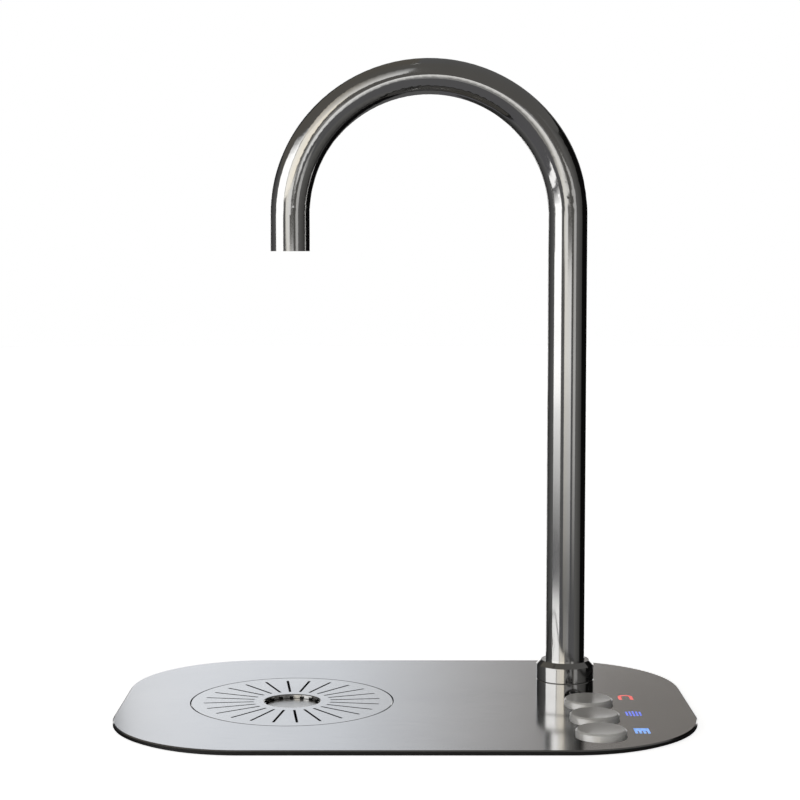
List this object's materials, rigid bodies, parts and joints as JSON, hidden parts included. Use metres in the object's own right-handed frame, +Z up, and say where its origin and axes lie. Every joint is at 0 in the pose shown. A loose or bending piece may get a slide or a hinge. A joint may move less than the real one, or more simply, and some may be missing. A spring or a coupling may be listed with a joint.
{
  "type": "countertop water dispenser",
  "caption": "Deck-mounted water dispenser: swivelling gooseneck spout over a slotted drain grille in a flat plate, with lit symbols beside push buttons.",
  "frame": {"origin": "centre of the plate, on the worktop's surface, which is the underside of the plate's gasket", "axes": "+Z up, +X right along the plate towards the column, -Y towards the user"},
  "size_m": [0.4, 0.288, 0.5465],
  "materials": {
    "plate": "satin, brushed lengthwise",
    "grille": "satin",
    "strainer": "satin",
    "neck": "polished",
    "collar": "polished",
    "button": "satin",
    "bowl": "pressed sheet",
    "stiffener": "zinc plated",
    "clamp": "zinc plated",
    "fastener": "zinc plated",
    "shank": "turned",
    "lock_nut": "turned",
    "spring": "drawn wire",
    "magnet": "nickel plated",
    "rubber": "matte",
    "seal": "matte",
    "bush": "moulded acetal",
    "bearing": "moulded acetal",
    "waste": "moulded",
    "water_tube": "extruded",
    "nozzle": "moulded",
    "hot_light": "diffusing",
    "chilled_light": "diffusing",
    "sparkling_light": "diffusing",
    "housing": "moulded, fine texture",
    "cover": "moulded, fine texture",
    "board": "solder resist",
    "chip": "moulded",
    "lamp": "moulded",
    "socket": "moulded",
    "contact": "plated"
  },
  "bodies": {
    "base": {"base_plate": "plate", "base_collar": "collar", "drain_bowl": "bowl", "stiffener_plate": "stiffener", "clamp_bars": "clamp", "clamp_nuts": "fastener", "weld_studs": "fastener", "bowl_studs": "fastener", "bowl_nuts": "fastener", "housing_screws": "fastener", "pcb_screws": "fastener", "shank_washer": "fastener", "threaded_shank": "shank", "lock_nut": "lock_nut", "plate_gasket": "rubber", "bowl_seal": "rubber", "cover_seal": "rubber", "waste_washer": "rubber", "base_oring": "seal", "friction_ring": "seal", "stem_seals": "seal", "bearing_washer": "bearing", "waste_fitting": "waste", "waste_nut": "waste", "control_housing": "housing", "housing_cover": "cover", "control_pcb": "board", "hall_sensors": "chip", "indicator_leds": "lamp", "harness_socket": "socket", "socket_pins": "contact", "hot_spring": "spring", "hot_guide": "bush", "hot_icon_lens": "hot_light", "chilled_spring": "spring", "chilled_guide": "bush", "chilled_icon_lens": "chilled_light", "sparkling_spring": "spring", "sparkling_guide": "bush", "sparkling_icon_lens": "sparkling_light"},
    "spout": {"gooseneck_tube": "neck", "swivel_collar": "collar", "stop_screw": "fastener", "lower_bush": "bush", "upper_bush": "bush", "spout_nozzle": "nozzle", "nozzle_oring": "seal", "hot_tube": "water_tube", "chilled_tube": "water_tube", "sparkling_tube": "water_tube"},
    "grille": {"drip_grille": "grille"},
    "strainer": {"drain_strainer": "strainer"},
    "hot_button": {"hot_button_cap": "button", "hot_magnet": "magnet"},
    "chilled_button": {"chilled_button_cap": "button", "chilled_magnet": "magnet"},
    "sparkling_button": {"sparkling_button_cap": "button", "sparkling_magnet": "magnet"}
  },
  "joints": [
    {"name": "spout_swivel", "type": "hinge", "parent": "base", "child": "spout", "pos_m": [0.1153, 0.022, 0], "axis": [0, 0, 1], "range_deg": [-60, 60]},
    {"name": "grille_lift", "type": "slide", "parent": "base", "child": "grille", "axis": [0, 0, 1], "range_m": [0, 0.025]},
    {"name": "strainer_lift", "type": "slide", "parent": "base", "child": "strainer", "axis": [0, 0, 1], "range_m": [0, 0.03]},
    {"name": "hot_press", "type": "slide", "parent": "base", "child": "hot_button", "axis": [0, 0, -1], "range_m": [0, 0.002], "stiffness_N_per_m": 900, "springref_m": -0.001, "deforming": ["hot_spring"]},
    {"name": "chilled_press", "type": "slide", "parent": "base", "child": "chilled_button", "axis": [0, 0, -1], "range_m": [0, 0.002], "stiffness_N_per_m": 900, "springref_m": -0.001, "deforming": ["chilled_spring"]},
    {"name": "sparkling_press", "type": "slide", "parent": "base", "child": "sparkling_button", "axis": [0, 0, -1], "range_m": [0, 0.002], "stiffness_N_per_m": 900, "springref_m": -0.001, "deforming": ["sparkling_spring"]}
  ]
}
